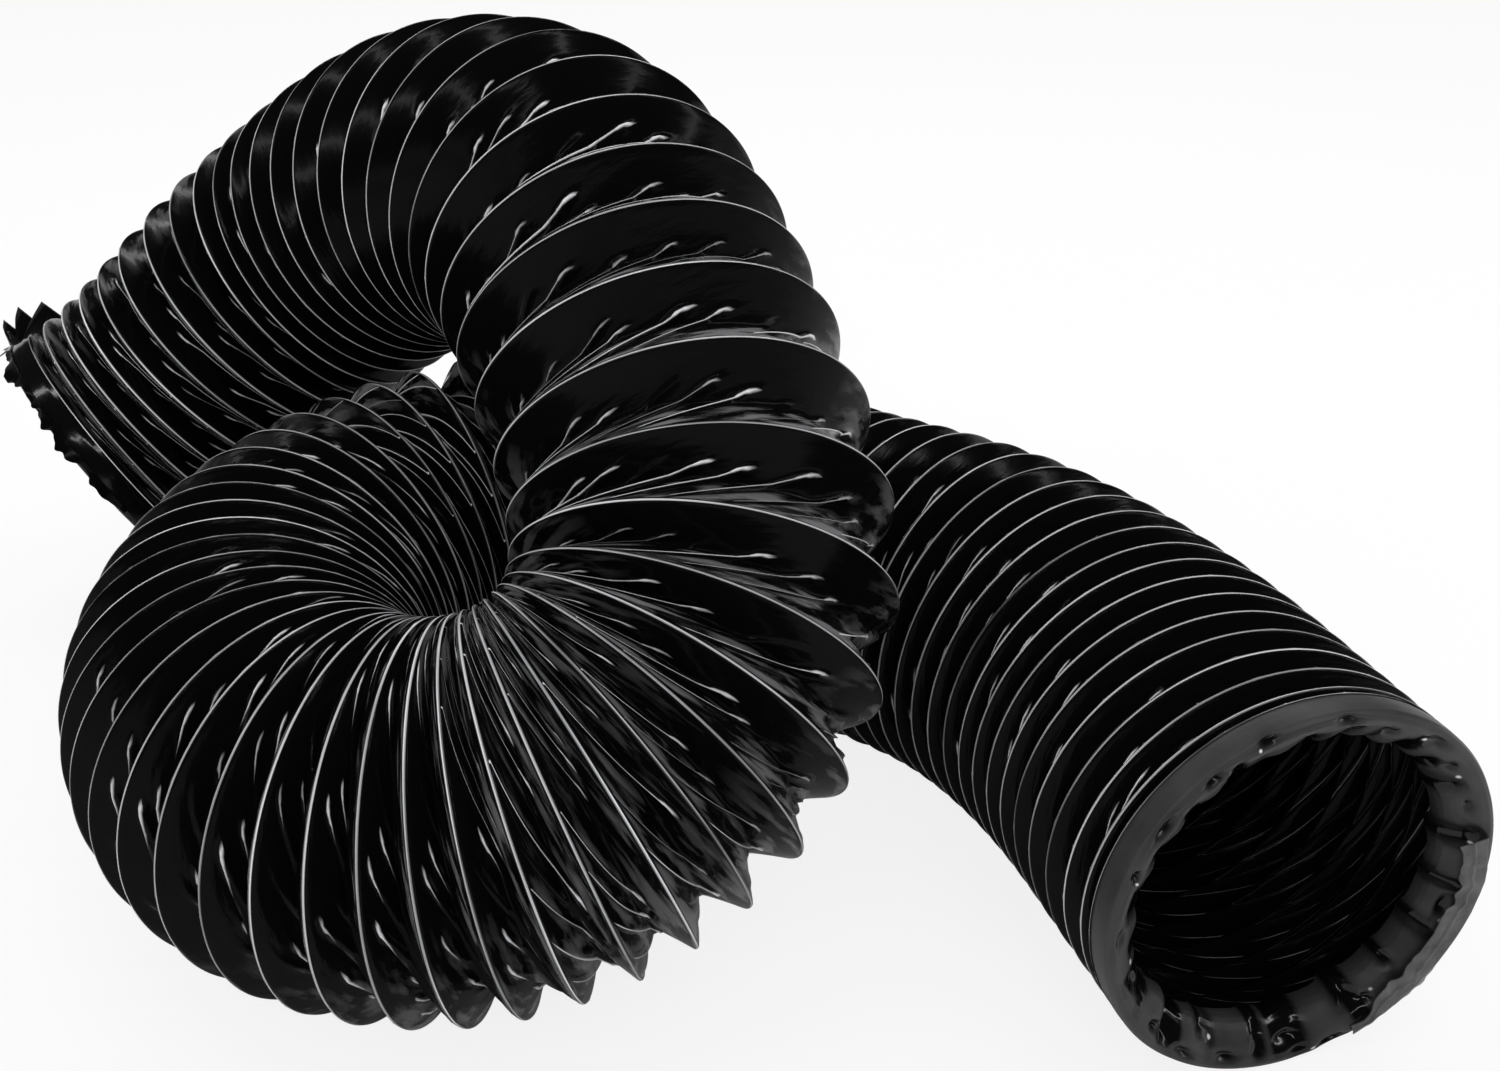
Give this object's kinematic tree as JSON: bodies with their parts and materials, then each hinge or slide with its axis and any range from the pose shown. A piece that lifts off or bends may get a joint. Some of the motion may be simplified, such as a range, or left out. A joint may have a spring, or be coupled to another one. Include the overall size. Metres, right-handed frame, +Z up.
{
  "type": "flexible air duct",
  "caption": "Flexible air duct: a coiled spring wire in a pleated black film sleeve, lying in an open loop with an arch, one round mouth at each end.",
  "frame": {"origin": "on the floor under the middle of the duct's outline", "axes": "+Z up; +X towards the open mouth end, along the longest extent; +Y to the back"},
  "size_m": [0.472, 0.3522, 0.2317],
  "materials": {
    "film": "glossy, creased",
    "hem_film": "satin, puckered",
    "spring_wire": "drawn wire"
  },
  "bodies": {
    "section_01": {"skin_01": "film", "wire_01": "spring_wire", "hem_a": "hem_film", "ring_a": "spring_wire", "trim_a": "film"},
    "section_02": {"skin_02": "film", "wire_02": "spring_wire"},
    "section_03": {"skin_03": "film", "wire_03": "spring_wire"},
    "section_04": {"skin_04": "film", "wire_04": "spring_wire"},
    "section_05": {"skin_05": "film", "wire_05": "spring_wire"},
    "section_06": {"skin_06": "film", "wire_06": "spring_wire"},
    "section_07": {"skin_07": "film", "wire_07": "spring_wire"},
    "section_08": {"skin_08": "film", "wire_08": "spring_wire"},
    "section_09": {"skin_09": "film", "wire_09": "spring_wire"},
    "section_10": {"skin_10": "film", "wire_10": "spring_wire"},
    "section_11": {"skin_11": "film", "wire_11": "spring_wire"},
    "section_12": {"skin_12": "film", "wire_12": "spring_wire"},
    "section_13": {"skin_13": "film", "wire_13": "spring_wire", "hem_b": "hem_film", "ring_b": "spring_wire", "flap_b": "hem_film"}
  },
  "joints": [
    {"name": "bend_a", "type": "hinge", "parent": "section_02", "child": "section_01", "pos_m": [-0.1644, 0.15306, 0.14802], "axis": [0.3697, 0.8184, -0.4399], "range_deg": [0, 16]},
    {"name": "bend_arch_rear", "type": "hinge", "parent": "section_03", "child": "section_02", "pos_m": [-0.05919, 0.13702, 0.1997], "axis": [0.6796, 0.3848, -0.6245], "range_deg": [0, 16]},
    {"name": "stretch_arch", "type": "slide", "parent": "section_04", "child": "section_03", "axis": [-0.5793, 0.805, 0.1278], "range_m": [0, 0.03]},
    {"name": "bend_limb", "type": "hinge", "parent": "section_05", "child": "section_04", "pos_m": [0.08493, -0.0708, 0.1285], "axis": [0.2686, 0.6415, -0.7185], "range_deg": [0, 14]},
    {"name": "bend_drop", "type": "hinge", "parent": "section_06", "child": "section_05", "pos_m": [-0.01426, -0.11609, 0.1175], "axis": [0.459, -0.8708, 0.1759], "range_deg": [0, 14]},
    {"name": "bend_front", "type": "hinge", "parent": "section_07", "child": "section_06", "pos_m": [-0.03169, -0.07023, 0.07083], "axis": [-0.1335, -0.2818, 0.9501], "range_deg": [0, 7]},
    {"name": "stretch_loop", "type": "slide", "parent": "section_07", "child": "section_08", "axis": [-0.6167, 0.7872, 0], "range_m": [0, 0.007]},
    {"name": "bend_left", "type": "hinge", "parent": "section_08", "child": "section_09", "pos_m": [-0.15738, -0.01023, 0.05673], "axis": [0, 0, 1], "range_deg": [0, 4]},
    {"name": "bend_back", "type": "hinge", "parent": "section_09", "child": "section_10", "pos_m": [-0.07422, 0.10115, 0.06406], "axis": [0, 0, 1], "range_deg": [0, 16]},
    {"name": "bend_under", "type": "hinge", "parent": "section_10", "child": "section_11", "pos_m": [0.07204, 0.09818, 0.055], "axis": [0, 0, 1], "range_deg": [0, 16]},
    {"name": "bend_b", "type": "hinge", "parent": "section_11", "child": "section_12", "pos_m": [0.15205, 0.02903, 0.0566], "axis": [0, 0, 1], "range_deg": [0, 20]},
    {"name": "stretch_b", "type": "slide", "parent": "section_12", "child": "section_13", "axis": [0.3853, -0.9228, 0], "range_m": [0, 0.04]}
  ]
}
